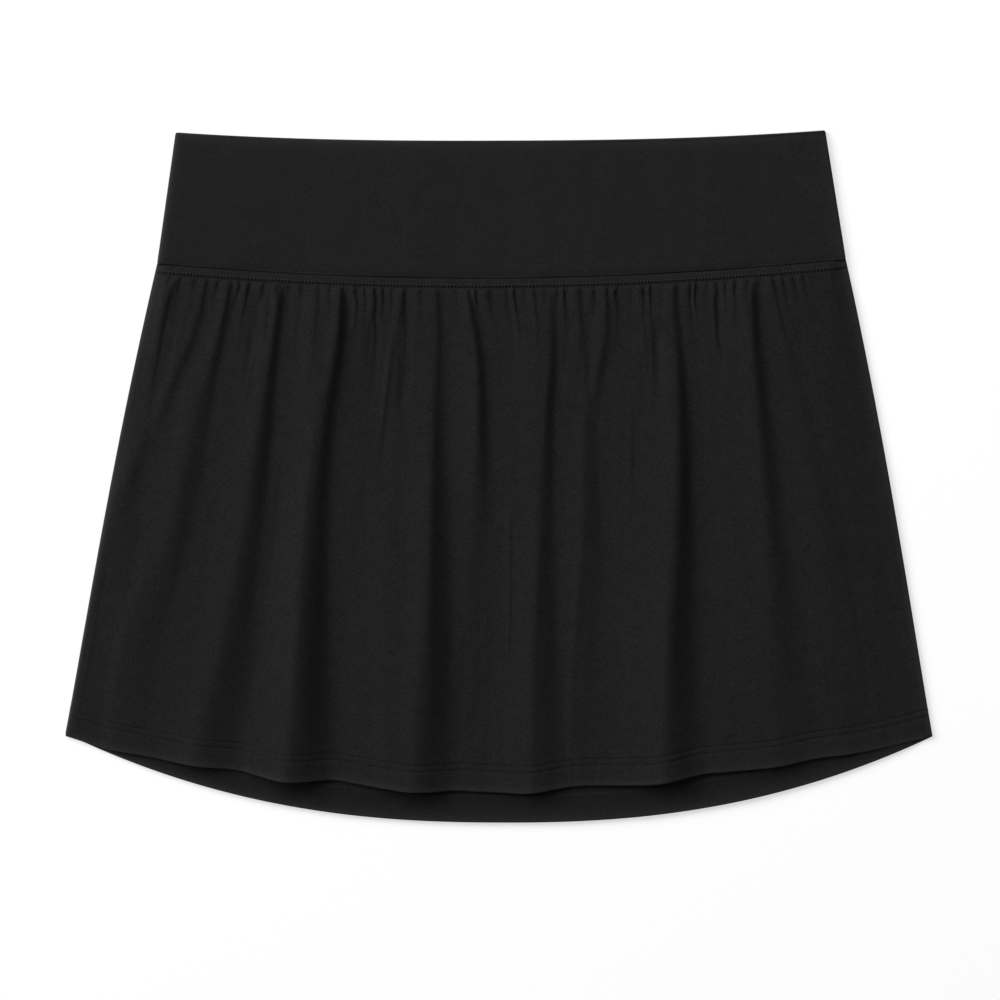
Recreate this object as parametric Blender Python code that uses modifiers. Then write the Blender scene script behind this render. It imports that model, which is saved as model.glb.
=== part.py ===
"""A tennis skort laid flat: a wide waistband, a gathered skirt and the shorts inside it.

+X is to the right as the front faces up, +Y runs towards the waist and +Z is up, out of the
front. The garment rests on the plane z = 0, and the origin is the middle of its footprint.
Every piece is a sheet: a flat grid whose points are moved onto the cloth's form, then given
its thickness.
"""

import math
from collections import namedtuple

import bmesh
import bpy
import numpy as np
from mathutils import Vector

MM = 0.001

# Cloth
JERSEY = 1.0 * MM  # wall of the skirt and the shorts
DOUBLED = 2.0 * MM  # wall of each half of the waistband, which is two layers
SEAM_GAP = 0.3 * MM  # between pieces that are sewn together or lie on each other

# Widths of the laid garment, from its middle line to one side
WAIST_HALF = 182.0 * MM  # at the top of the waistband
HIP_HALF = 193.0 * MM  # at the waist seam
HEM_HALF = 243.0 * MM  # at the corners of the hem
SIDE_BOW = 11.0 * MM  # bow of the side seam out of a straight line
BOW_FROM_HEM = 1.5  # over 1, the bow is fuller near the waist seam than near the hem
LEAN_TOP = 0.8 * MM  # how far to the right the middle of the waistband lies at its top
LEAN_SEAM = 1.4 * MM  # and at the waist seam. The middle of the hem is on the middle line.

# Lines across the garment: the height of each on the middle line, and its rise at the sides
TOP_MIDDLE = 188.2 * MM
TOP_RISE = 5.2 * MM
TOP_CURVE = 2.5  # the power of x that the rise follows
SEAM_MIDDLE = 111.0 * MM
SEAM_RISE = 9.4 * MM
SIDE_TILT = 0.006  # the right side lies this much higher for its distance from the middle
HEM_CORNER = -144.8 * MM
FRONT_HEM_MIDDLE = -176.7 * MM
BACK_HEM_MIDDLE = -193.9 * MM
FRONT_HEM_CURVE = 2.0
BACK_HEM_CURVE = 2.35
HEM_TILT = -0.0033  # the right side of both hems lies this much lower for its distance

# The stitched allowance under the top of the skirt, and the turned-up hem
ALLOWANCE = 4.8 * MM
ALLOWANCE_PROUD = 0.7 * MM
HEM_TURN = 15.0 * MM

# Layers, from the floor up
BACK_TOP = JERSEY
SEAT = BACK_TOP + SEAM_GAP  # what lies on the back panel starts here
SHORTS_TOP = SEAT + 2 * JERSEY + SEAM_GAP
FRONT_LOW = SEAT + 1.6 * MM  # outer face of the front where it lies on the back panel
FRONT_HIGH = SHORTS_TOP + SEAM_GAP + JERSEY  # and where the shorts are under it
EDGE_ROLL = 1.6 * MM  # radius of the front's side edge, which rolls down to the back panel
BAND_RIM = 0.7 * MM  # rounding of the waistband's rim
SHARP_CORNER = math.radians(60)  # a corner that turns more than this is rounded

# Inner shorts
SHORTS_HALF = 178.0 * MM
SHORTS_HALF_HEM = 176.0 * MM
CROTCH = -82.0 * MM
LEG_HEM = -136.0 * MM
LEG_SPREAD = 12.0 * MM  # from the middle line to each inseam, at the leg's hem
SHORTS_COVER = 184.0 * MM  # beyond this the front settles towards the back panel

# Folds of the front panel, in millimetres. Each is a fall to the right, from a crest to a
# valley, and the cloth then climbs again to the next crest. x is the fold's line, where the fall
# is steepest, and deep its height, at each station, which is a share of the way from the waist
# seam to the hem. reach is how far the fall begins to the left of its line, at a quarter of the
# length and at the hem.
STATIONS = (0.0, 0.1, 0.25, 0.5, 0.75, 1.0)
Fold = namedtuple("Fold", "x deep reach")
FOLDS = (
    Fold((-162, -165, -182.4, -210, -225, -236.4), (1, 1.5, 1.4, 1.6, 0.8, 0.4), (5, 12)),
    Fold((-148, -153, -162.4, -172.4, -198.5, -204), (1.5, 2.5, 2.2, 2, 2.6, 1.6), (5.5, 17)),
    Fold((-120, -123.8, -128.4, -135, -145.2, -159), (3.6, 3.6, 4, 3.3, 5, 4), (5, 14)),
    Fold((-89, -85.7, -94.6, -101.2, -102.6, -105.4), (3.4, 5, 5.3, 7.4, 11.2, 9.5), (7, 15)),
    Fold((-34.6, -32.5, -33.4, -33.2, -33.8, -36), (1.3, 1.7, 2.3, 5.8, 9, 7), (3.5, 14)),
    Fold((-19.8, -10.6, -8.8, -8.2, -14.2, -19), (2.8, 2.7, 4.8, 1.2, 0, 0), (4, 12)),
    Fold((26.4, 32.4, 28.2, 27, 25.6, 28), (0.8, 2.2, 2.8, 3.2, 6.2, 4.6), (3.5, 10)),
    Fold((60, 64.8, 51.4, 52.4, 48.2, 46), (0.9, 2.3, 1.4, 3, 1.2, 0.3), (5, 9)),
    Fold((96.2, 100, 103.4, 104.2, 101.8, 104.2), (1.4, 1.5, 5.3, 7.5, 9.5, 7.4), (3.5, 12)),
    Fold((143, 142.5, 147.1, 155, 161.4, 167.4), (2.9, 4.2, 4.4, 4, 3.6, 2.8), (4.5, 12)),
    Fold((150, 159.4, 169, 184.8, 195.8, 204.8), (0.5, 0.6, 0.6, 1.5, 0.7, 0.4), (5, 13)),
)
RISE_POWER = (1.9, 1.4)  # at the seam and at the hem, how late the cloth climbs to a crest
REACH_SPOTS = (0.0, 0.1, 0.25, 1.0)  # shares of the length where the reach to the left is set
REACH_SEAM = (1.5, 2.5)  # the first two of them, in millimetres. The last two are each fold's.
FALL_AFTER = (1.5, 14.0)  # reach of a fall to the right of its line, at the seam and at the hem
AFTER_POWER = 1.5  # over 1, it stays short for longer
STEEPEST = (0.1, 0.9)  # the least and the greatest share of a fall that its line may lie at
LINE_SOFT = 0.08  # a fold's line is averaged over this share of the length, each way
LEAST_RISE = 1.0 * MM  # width that is kept between a valley and the next crest
FOLDS_OPEN = 13.0 * MM  # below the stitched allowance, the folds rise to full height in this

# How much lower than its plain curve the front hem hangs at x, both in millimetres: low on the
# crests of the folds and high in their valleys.
HEM_WAVE = (
    (-243, 1.2), (-224, 2.8), (-216, 2.8), (-194, 1.6), (-171, 2.0), (-147, -0.4), (-121, 3.1),
    (-93, -2.0), (-49, 2.0), (-23, -0.6), (-19, 0.0), (-3, 0.2), (16, 1.4), (42, -2.5), (55, -2.1),
    (88, 0.0), (114, -3.4), (156, -1.2), (180, -2.4), (191, -0.9), (213, 0.0),
)

# Creases, in millimetres: shorter troughs between the folds. x and distance below the seam at
# both ends, depth, and width of the left and the right bank. A negative depth is a ridge.
Crease = namedtuple("Crease", "x_start x_end start end deep left right")
CREASES = (
    Crease(-179, -200, 5, 110, 2.2, 4.0, 7.0),
    Crease(-136, -141, 8, 76, 2.0, 3.5, 6.0),
    Crease(-123, -128, 100, 200, 0.8, 5.0, 6.0),
    Crease(-105, -108, 6, 110, -1.2, 8.0, 10.0),
    Crease(-70, -77, 20, 96, 1.0, 3.5, 7.0),
    Crease(-52.5, -55.5, 10, 92, 2.4, 3.0, 6.0),
    Crease(49, 52, 15, 90, 1.7, 3.0, 5.0),
    Crease(58, 60, 75, 180, 1.1, 3.5, 7.0),
    Crease(88, 90, 26, 90, 1.4, 3.5, 6.0),
    Crease(122, 125, 8, 60, 1.6, 3.0, 5.0),
    Crease(148, 161, 12, 104, 1.7, 4.0, 6.0),
    Crease(168, 174, 10, 70, 1.0, 4.0, 6.0),
    Crease(-204, -224, 80, 300, -1.1, 10.0, 10.0),
    Crease(-134, -172, 60, 320, -0.9, 14.0, 13.0),
    Crease(-172, -188, 50, 200, -1.1, 7.0, 9.0),
    Crease(-64, -62, 110, 330, -1.1, 16.0, 12.0),
    Crease(-38, -40, 30, 300, -0.9, 12.0, 5.0),
    Crease(22, 20, 24, 240, -0.8, 22.0, 11.0),
    Crease(-186, -199, 4, 90, -1.4, 7.0, 5.0),
    Crease(-76, -77, 4, 70, -1.0, 10.0, 9.0),
)
CREASE_DEEPENS = 0.15  # a crease is at its deepest from this share of its length on
CREASE_FADES = 0.35  # and gets shallower after this one

# Gathers, in millimetres: small ridges that come out from under the stitched allowance. x of
# the valley at a gather's right, the height of its ridge over it, and the length it fades in.
Gather = namedtuple("Gather", "x rise length")
GATHERS = (
    Gather(-189.5, 0.0, 5), Gather(-184.0, 1.0, 8), Gather(-177.3, 1.2, 10),
    Gather(-174.0, 0.9, 6), Gather(-168.5, 1.1, 9), Gather(-161.8, 1.0, 10),
    Gather(-155.6, 1.3, 6), Gather(-152.3, 0.6, 5), Gather(-147.9, 1.2, 10),
    Gather(-143.9, 1.5, 6), Gather(-140.7, 0.8, 5), Gather(-136.8, 2.0, 22),
    Gather(-133.4, 1.3, 8), Gather(-127.9, 1.8, 14), Gather(-121.7, 1.2, 12),
    Gather(-116.8, 1.1, 9), Gather(-113.4, 0.6, 4), Gather(-110.1, 1.1, 9),
    Gather(-104.6, 0.9, 7), Gather(-100.7, 1.4, 30), Gather(-95.1, 1.2, 10),
    Gather(-92.4, 0.6, 4), Gather(-88.2, 1.4, 12), Gather(-81.2, 2.0, 8),
    Gather(-76.8, 1.2, 12), Gather(-70.1, 2.0, 24), Gather(-65.7, 1.5, 9),
    Gather(-60.6, 1.3, 9), Gather(-53.4, 1.8, 30), Gather(-49.5, 0.7, 8),
    Gather(-43.9, 1.2, 10), Gather(-40.6, 0.7, 6), Gather(-37.4, 0.6, 5),
    Gather(-34.0, 1.2, 10), Gather(-31.3, 0.8, 4), Gather(-26.3, 0.8, 14),
    Gather(-20.7, 0.4, 3), Gather(-16.2, 1.3, 10), Gather(-12.3, 0.9, 8),
    Gather(-7.8, 1.8, 12), Gather(-5.0, 0.7, 5), Gather(-1.7, 1.1, 7),
    Gather(2.2, 1.2, 12), Gather(6.2, 1.5, 14), Gather(9.5, 0.5, 4),
    Gather(12.3, 0.6, 4), Gather(17.4, 1.2, 20), Gather(20.7, 0.8, 5),
    Gather(25.2, 0.4, 3), Gather(30.5, 1.1, 10), Gather(34.6, 1.7, 12),
    Gather(39.0, 0.9, 7), Gather(44.6, 1.8, 30), Gather(47.4, 0.5, 5),
    Gather(51.3, 1.4, 9), Gather(59.5, 1.6, 12), Gather(64.6, 1.8, 12),
    Gather(70.6, 1.0, 10), Gather(75.7, 0.6, 4), Gather(79.0, 1.7, 24),
    Gather(83.4, 1.3, 12), Gather(89.5, 0.9, 10), Gather(93.4, 0.7, 5),
    Gather(98.6, 1.4, 14), Gather(102.3, 1.2, 6), Gather(106.3, 1.5, 20),
    Gather(109.2, 1.6, 9), Gather(114.0, 0.8, 9), Gather(121.2, 1.1, 24),
    Gather(125.7, 1.2, 14), Gather(131.8, 1.6, 12), Gather(139.4, 1.4, 10),
    Gather(143.4, 1.3, 7), Gather(150.1, 1.7, 14), Gather(155.0, 1.3, 12),
    Gather(161.2, 1.3, 9), Gather(166.8, 0.9, 9), Gather(175.7, 0.4, 6),
    Gather(182.4, 0.3, 6), Gather(189.5, 0.0, 5),
)
GATHER_PRESSED = 0.2  # share of their rise that is left in the stitched allowance
SHOULDER = 0.6  # a ridge stands this share of the way to the valley at its right

# Rows of the front panel, as distances below the waist seam: close together at the gathers
NEAR_ROWS = (0.0, ALLOWANCE, ALLOWANCE + 1.3 * MM, 11.0 * MM, 19.0 * MM, 36.0 * MM)
FAR_ROWS = 5  # evenly spaced from there to the hem's stitching

# Columns and rows of the plain pieces
BACK_GRID = (49, 9)
BAND_GRID = (41, 5)
LEG_FLAT, LEG_FOLD, LEG_ROWS = 9, 6, 9  # columns on each face, steps round the side, rows

COLOURS = {
    "waistband": (0.0185, 0.0185, 0.0190, 1.0),
    "skirt": (0.0176, 0.0176, 0.0180, 1.0),
    "shorts": (0.0160, 0.0160, 0.0165, 1.0),
}


def between(ends, share):
    return ends[0] + (ends[1] - ends[0]) * share


def smooth(value, start, end):
    """0 before start, 1 after end, and an even S between them."""
    share = min(max((value - start) / (end - start), 0.0), 1.0)
    return share * share * (3 - 2 * share)


def down(values, share):
    """Reads the values at a share of the length, with the corners of their line eased."""
    spots = [share + shift * LINE_SOFT for shift in (-1.0, -0.5, 0.0, 0.5, 1.0)]
    return float(np.interp(spots, STATIONS, values).mean())


# Outline


def waist_top(x):
    return TOP_MIDDLE + TOP_RISE * abs(x / WAIST_HALF) ** TOP_CURVE + SIDE_TILT / 2 * x


def waist_seam(x):
    return SEAM_MIDDLE + SEAM_RISE * (x / HIP_HALF) ** 2 + SIDE_TILT * x


def hem(x, middle, curve):
    rise = (HEM_CORNER - middle) * min(abs(x) / HEM_HALF, 1.0) ** curve
    return middle + rise + HEM_TILT * x


def skirt_half(share):
    """Half the skirt's width, at a share of the way from the waist seam to the hem."""
    share = min(share, 1.0)
    bow = SIDE_BOW * share * (1 - share) ** BOW_FROM_HEM
    return between((HIP_HALF, HEM_HALF), share) + bow


def skirt_middle(share):
    return between((LEAN_SEAM, 0.0), share)


# Form of the front panel


def fold_profile(share):
    """(valley, crest, next valley, height, power) of each fold, at this share of the length."""
    profile = []
    valley = skirt_middle(share) - skirt_half(share)
    for fold in FOLDS:
        line = down(fold.x, share) * MM
        reach = np.interp(share, REACH_SPOTS, REACH_SEAM + fold.reach) * MM
        crest = max(line - reach, valley + LEAST_RISE)
        end = line + between(FALL_AFTER, share ** AFTER_POWER) * MM
        fallen = min(max((line - crest) / (end - crest), STEEPEST[0]), STEEPEST[1])
        power = math.log(0.5) / math.log(fallen)  # so that the fall is steepest at its line
        profile.append((valley, crest, end, down(fold.deep, share) * MM, power))
        valley = end
    return profile


def fold_height(x, share, profile):
    """Height of the folds at x: a slow rise to each crest and a steep fall after it."""
    for start, crest, end, deep, power in profile:
        if start < x <= crest:
            return deep * ((x - start) / (crest - start)) ** between(RISE_POWER, share)
        if crest < x < end:
            return deep * (1 - smooth(((x - crest) / (end - crest)) ** power, 0.0, 1.0))
    return 0.0


def crease_depth(x, distance):
    """How deep the creases are at x and at a distance below the waist seam."""
    total = 0.0
    for crease in CREASES:
        share = (distance / MM - crease.start) / (crease.end - crease.start)
        if 0.0 < share < 1.0:
            away = x / MM - between((crease.x_start, crease.x_end), share)
            bank = crease.left if away < 0 else crease.right
            ends = smooth(share, 0.0, CREASE_DEEPENS) * (1 - smooth(share, CREASE_FADES, 1.0))
            total += crease.deep * MM * ends * (1 - smooth(abs(away), 0.0, bank))
    return total


def opened(distance):
    """How far the folds have opened: flat in the seam's stitching, whole soon below it."""
    share = min(max((distance - ALLOWANCE) / FOLDS_OPEN, 0.0), 1.0)
    return math.sin(share * math.pi / 2)


def fold_line(seam_x, share):
    """Where a thread that starts at seam_x on the waist seam lies further down."""
    side = HIP_HALF - EDGE_ROLL
    middle, half = skirt_middle(share), skirt_half(share)
    if abs(seam_x) > side:
        return middle + math.copysign(half - (HIP_HALF - abs(seam_x)), seam_x)
    starts = [-side] + [fold.x[0] * MM for fold in FOLDS] + [side]
    ends = [middle + EDGE_ROLL - half]
    ends += [down(fold.x, share) * MM for fold in FOLDS]
    ends += [middle + half - EDGE_ROLL]
    return float(np.interp(seam_x, starts, ends))


def resting_level(x, share):
    """Outer face of the front where it touches what is under it, lower beside the shorts."""
    over_shorts = 1 - smooth(abs(x), SHORTS_COVER, skirt_half(share) - EDGE_ROLL)
    return between((FRONT_LOW, FRONT_HIGH), over_shorts)


def gather_height(gather, shoulder, distance):
    """How far a gather stands above its valleys, at a distance below the waist seam."""
    if not shoulder:
        return 0.0
    if distance <= ALLOWANCE:
        return GATHER_PRESSED * gather.rise * MM
    return gather.rise * MM * math.exp((ALLOWANCE - distance) / (gather.length * MM))


def front_hem(x):
    """The hem hangs lower on a crest than in the valley beside it."""
    drop = HEM_WAVE[0][1] if x < 0 else HEM_WAVE[-1][1]
    for (x0, drop0), (x1, drop1) in zip(HEM_WAVE, HEM_WAVE[1:]):
        if x0 <= x / MM < x1:
            drop = between((drop0, drop1), smooth(x / MM, x0, x1))
    return hem(x, FRONT_HEM_MIDDLE, FRONT_HEM_CURVE) - drop * MM


# Columns and rows of the front panel's grid


def rolled_columns():
    """Places across a side edge that follow its quarter-round roll, from the edge inwards."""
    return [EDGE_ROLL * (1 - math.cos(math.radians(turn))) for turn in (0, 30, 60, 90)]


def front_columns():
    """(x at the waist seam, its gather, whether it is on the ridge) of every column."""
    edge = rolled_columns()
    columns = [(place - HIP_HALF, GATHERS[0], False) for place in edge]
    columns.append((GATHERS[0].x * MM, GATHERS[0], False))
    for left, right in zip(GATHERS, GATHERS[1:]):
        columns.append((between((left.x, right.x), SHOULDER) * MM, right, True))
        columns.append((right.x * MM, right, False))
    return columns + [(HIP_HALF - place, GATHERS[-1], False) for place in reversed(edge)]


def front_rows(length):
    """Distances below the waist seam of every row of a panel of this length."""
    far = np.linspace(NEAR_ROWS[-1], length - HEM_TURN, FAR_ROWS + 1)[1:]
    return list(NEAR_ROWS) + list(far) + [length]


# Building


def sheet(name, grid, place, thickness, colour, collection):
    """A grid of columns by rows whose points are moved by place(column, row), thickened."""
    columns, rows = grid
    form = bmesh.new()
    bmesh.ops.create_grid(form, x_segments=columns - 1, y_segments=rows - 1, size=1.0)
    for point in form.verts:
        column = round((point.co.x + 1) / 2 * (columns - 1))
        row = round((1 - point.co.y) / 2 * (rows - 1))
        point.co = Vector(place(column, row))
    for face in form.faces:
        face.smooth = True
    mesh = bpy.data.meshes.new(name)
    form.to_mesh(mesh)
    form.free()
    piece = bpy.data.objects.new(name, mesh)
    collection.objects.link(piece)
    wall = piece.modifiers.new("Wall", "SOLIDIFY")
    wall.thickness = thickness
    wall.offset = -1
    wall.use_even_offset = True
    piece.data.materials.append(cloth_material(name, COLOURS[colour]))
    return piece


def cloth_material(name, colour):
    material = bpy.data.materials.new(name)
    material.use_nodes = True
    shader = material.node_tree.nodes["Principled BSDF"]
    shader.inputs["Base Color"].default_value = colour
    shader.inputs["Roughness"].default_value = 0.9
    shader.inputs["Metallic"].default_value = 0.0
    return material


def round_rim(piece):
    """Rounds the rim of a flat wall, leaving the faces themselves flat."""
    bevel = piece.modifiers.new("Rim", "BEVEL")
    bevel.width = BAND_RIM
    bevel.segments = 2
    bevel.limit_method = "ANGLE"
    bevel.angle_limit = SHARP_CORNER


def skirt_front(collection):
    columns = front_columns()
    profiles = {}  # the folds' profile at each share of the length, worked out once

    def place(column, row):
        seam_x, gather, shoulder = columns[column]
        top = waist_seam(fold_line(seam_x, 0.0)) - SEAM_GAP
        bottom = front_hem(fold_line(seam_x, 1.0))
        distance = front_rows(top - bottom)[row]
        share = distance / (top - bottom)
        x = fold_line(seam_x, share)
        key = round(share, 6)
        if key not in profiles:
            profiles[key] = fold_profile(share)
        folded = max(fold_height(x, share, profiles[key]) - crease_depth(x, distance), 0.0)
        height = resting_level(x, share) + folded * opened(distance)
        height += gather_height(gather, shoulder, distance)
        if distance <= ALLOWANCE:
            height += ALLOWANCE_PROUD
        inwards = HIP_HALF - abs(seam_x)
        if inwards < EDGE_ROLL:
            lift = math.sqrt(max(1 - (1 - inwards / EDGE_ROLL) ** 2, 0.0))
            height = between((SEAT, height), lift)
        return x, top - distance, height

    grid = (len(columns), len(NEAR_ROWS) + FAR_ROWS + 1)
    return sheet("skirt_front", grid, place, JERSEY, "skirt", collection)


def skirt_back(collection):
    columns, rows = BACK_GRID

    def place(column, row):
        side = 2 * column / (columns - 1) - 1
        share = row / (rows - 1)
        top = waist_seam(LEAN_SEAM + side * HIP_HALF) - SEAM_GAP
        bottom = hem(side * HEM_HALF, BACK_HEM_MIDDLE, BACK_HEM_CURVE)
        x = skirt_middle(share) + side * skirt_half(share)
        return x, between((top, bottom), share), BACK_TOP

    return sheet("skirt_back", BACK_GRID, place, JERSEY, "skirt", collection)


def waistband(name, level_at_top, level_at_seam, collection):
    """Half of the waistband, whose outer face has these two levels."""
    columns, rows = BAND_GRID

    def place(column, row):
        side = 2 * column / (columns - 1) - 1
        share = row / (rows - 1)
        top = waist_top(LEAN_TOP + side * WAIST_HALF)
        bottom = waist_seam(LEAN_SEAM + side * HIP_HALF)
        x = between((LEAN_TOP, LEAN_SEAM), share) + side * between((WAIST_HALF, HIP_HALF), share)
        return x, between((top, bottom), share), between((level_at_top, level_at_seam), share)

    piece = sheet(name, BAND_GRID, place, DOUBLED, "waistband", collection)
    round_rim(piece)
    return piece


def shorts_leg(name, side, collection):
    """One leg of the shorts: a sheet from the centre front round the side to the back."""
    radius = (SHORTS_TOP - SEAT) / 2  # of the fold at the side
    columns = 2 * LEG_FLAT + LEG_FOLD - 1

    def place(column, row):
        share = row / (LEG_ROWS - 1)
        below_crotch = CROTCH - between((SEAM_MIDDLE, LEG_HEM), share)
        inner = SEAM_GAP / 2 + LEG_SPREAD * smooth(below_crotch, 0.0, CROTCH - LEG_HEM)
        turn = between((SHORTS_HALF, SHORTS_HALF_HEM), share) - radius
        if column < LEG_FLAT:
            x = between((inner, turn), column / (LEG_FLAT - 1))
            z = SHORTS_TOP
        elif column < LEG_FLAT + LEG_FOLD - 1:
            angle = math.pi * (column - LEG_FLAT + 1) / LEG_FOLD
            x = turn + radius * math.sin(angle)
            z = SEAT + radius + radius * math.cos(angle)
        else:
            x = between((turn, inner), (column - LEG_FLAT - LEG_FOLD + 1) / (LEG_FLAT - 1))
            z = SEAT
        top = waist_seam(side * x) - SEAM_GAP
        return side * x, between((top, LEG_HEM), share), z

    leg = sheet(name, (columns, LEG_ROWS), place, JERSEY, "shorts", collection)
    if side < 0:
        leg.data.flip_normals()
    return leg


def main():
    for thing in list(bpy.data.objects):
        bpy.data.objects.remove(thing, do_unlink=True)
    skort = bpy.data.collections.new("tennis_skort")
    bpy.context.scene.collection.children.link(skort)
    skirt_back(skort)
    waistband("waistband_back", DOUBLED, DOUBLED, skort)
    for name, side in (("shorts_left", -1), ("shorts_right", 1)):
        shorts_leg(name, side, skort)
    skirt_front(skort)
    waistband("waistband_front", DOUBLED + SEAM_GAP + DOUBLED, FRONT_HIGH, skort)


main()
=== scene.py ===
# %% [markdown]
# # A tennis skort, laid flat
#
# A skort is a short skirt with shorts sewn inside it. This one is cut from near-black jersey: a
# wide doubled waistband, a flared skirt gathered into it, a turned-up hem sewn with a twin
# needle, and two short legs that stay hidden while it lies on its back.
#
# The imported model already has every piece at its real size. It is loaded first and left as it
# is, and the cells below dress its nodes with finer sheets of cloth.

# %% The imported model
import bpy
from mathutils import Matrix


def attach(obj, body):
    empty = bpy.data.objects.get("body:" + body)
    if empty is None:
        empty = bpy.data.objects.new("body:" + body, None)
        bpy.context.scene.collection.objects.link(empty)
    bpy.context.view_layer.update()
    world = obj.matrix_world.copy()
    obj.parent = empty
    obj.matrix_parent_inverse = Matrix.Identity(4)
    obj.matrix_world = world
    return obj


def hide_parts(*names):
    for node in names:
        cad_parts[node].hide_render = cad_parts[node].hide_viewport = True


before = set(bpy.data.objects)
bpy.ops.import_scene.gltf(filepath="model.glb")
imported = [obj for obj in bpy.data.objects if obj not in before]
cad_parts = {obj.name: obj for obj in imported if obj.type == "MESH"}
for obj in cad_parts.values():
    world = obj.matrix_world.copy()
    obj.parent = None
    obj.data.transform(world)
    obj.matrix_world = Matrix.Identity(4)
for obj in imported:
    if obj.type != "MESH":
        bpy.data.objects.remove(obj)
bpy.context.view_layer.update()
print("CAD nodes:", ", ".join(sorted(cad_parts)))

# %% Tools
import math
from collections import namedtuple

import bmesh
import bpy
import numpy as np
from mathutils import Vector, noise

MM = 0.001

# %% [markdown]
# ## Camera and light
#
# A flat lay is seen from straight above through a long lens, so the sides of the garment
# hardly lean. One big soft light stands on the left, towards the waist, and low enough to rake
# across the cloth: the left of each fold is bright and its right is dark. A small one above the
# waist makes the top a little brighter than the hem, and a white surround fills the shadows.

# %% Camera straight above the garment
PIXEL, FRAME = 0.56 * MM, 1000  # what a pixel covers of the cloth, and the pixels of the frame
FRAME_MIDDLE = (1.0, -23.5)  # where the frame's middle lies from the garment's, in pixels
CAMERA_HEIGHT = 4.0  # above the level of the cloth
CLOTH_LEVEL = 4 * MM
SENSOR = 36.0

camera = bpy.data.objects.new("camera", bpy.data.cameras.new("camera"))
bpy.context.scene.collection.objects.link(camera)
bpy.context.scene.camera = camera
camera.data.sensor_width = SENSOR
camera.data.lens = SENSOR * CAMERA_HEIGHT / (FRAME * PIXEL)
camera.data.clip_end = 5 * CAMERA_HEIGHT
camera.location = (*(PIXEL * place for place in FRAME_MIDDLE), CAMERA_HEIGHT + CLOTH_LEVEL)
print("lens:", round(camera.data.lens), "mm")

# %% A soft key light and a white surround
KEY_TURN = math.radians(149)  # from +X, counter-clockwise
KEY_RISE = math.radians(35)
KEY_DISTANCE = 7.0
KEY_SIZE = 4.5
KEY_POWER = 715.0
TOP_PLACE = Vector((0.0, 0.9, 1.3))
TOP_SIZE = 0.8
TOP_POWER = 7.0
SURROUND = 0.30


def soft_light(name, place, size, power):
    """A square light at a place, turned to the garment."""
    light = bpy.data.objects.new(name, bpy.data.lights.new(name, "AREA"))
    bpy.context.scene.collection.objects.link(light)
    light.location = place
    light.rotation_euler = (-place).to_track_quat("-Z", "Y").to_euler()
    light.data.size = size
    light.data.energy = power


towards = Vector((
    math.cos(KEY_TURN) * math.cos(KEY_RISE),
    math.sin(KEY_TURN) * math.cos(KEY_RISE),
    math.sin(KEY_RISE),
))
soft_light("key_light", towards * KEY_DISTANCE, KEY_SIZE, KEY_POWER)
soft_light("top_light", TOP_PLACE, TOP_SIZE, TOP_POWER)

world = bpy.data.worlds.new("white_surround")
world.use_nodes = True
background = world.node_tree.nodes["Background"]
background.inputs["Color"].default_value = (1.0, 1.0, 1.0, 1.0)
background.inputs["Strength"].default_value = SURROUND
bpy.context.scene.world = world
bpy.context.scene.view_settings.view_transform = "Standard"
print("light from", [round(part, 2) for part in towards])

# %% [markdown]
# ## Cloth lines
#
# The lines that a pattern cutter would draw, in metres: the top of the waistband, the waist
# seam, the side seams and the two hems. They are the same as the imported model's.

# %% Cloth lines
WAIST_HALF, HIP_HALF, HEM_HALF = 182.0 * MM, 193.0 * MM, 243.0 * MM
SIDE_BOW, BOW_FROM_HEM = 11.0 * MM, 1.5
LEAN_TOP, LEAN_SEAM = 0.8 * MM, 1.4 * MM  # how far right of the hem's middle theirs lie
TOP_MIDDLE, TOP_RISE, TOP_CURVE = 188.2 * MM, 5.2 * MM, 2.5
SEAM_MIDDLE, SEAM_RISE = 111.0 * MM, 9.4 * MM
SIDE_TILT = 0.006
HEM_CORNER = -144.8 * MM
FRONT_HEM_MIDDLE, FRONT_HEM_CURVE = -176.7 * MM, 2.0
BACK_HEM_MIDDLE, BACK_HEM_CURVE = -193.9 * MM, 2.35
HEM_TILT = -0.0033
SEAM_GAP = 0.3 * MM
EDGE_ROLL = 1.0 * MM  # how far in from a side edge the front's cloth rolls over
ALLOWANCE = 4.8 * MM  # the seam allowance that is pressed down and topstitched


def between(ends, share):
    return ends[0] + (ends[1] - ends[0]) * share


def smooth(value, start, end):
    """0 before start, 1 after end, and an even S between them."""
    share = np.clip((value - start) / (end - start), 0.0, 1.0)
    return share * share * (3 - 2 * share)


def waist_top(x):
    return TOP_MIDDLE + TOP_RISE * np.abs(x / WAIST_HALF) ** TOP_CURVE + SIDE_TILT / 2 * x


def waist_seam(x):
    return SEAM_MIDDLE + SEAM_RISE * (x / HIP_HALF) ** 2 + SIDE_TILT * x


def hem(x, middle, curve):
    rise = (HEM_CORNER - middle) * np.minimum(np.abs(x) / HEM_HALF, 1.0) ** curve
    return middle + rise + HEM_TILT * x


def skirt_half(share):
    """Half the skirt's width, at a share of the way from the waist seam to the hem."""
    inside = np.clip(share, 0.0, 1.0)
    bow = SIDE_BOW * inside * (1 - inside) ** BOW_FROM_HEM
    return between((HIP_HALF, HEM_HALF), share) + bow


def skirt_middle(share):
    return between((LEAN_SEAM, 0.0), share)


print("length of the back at its middle, mm:", round((TOP_MIDDLE - BACK_HEM_MIDDLE) / MM))

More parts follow.
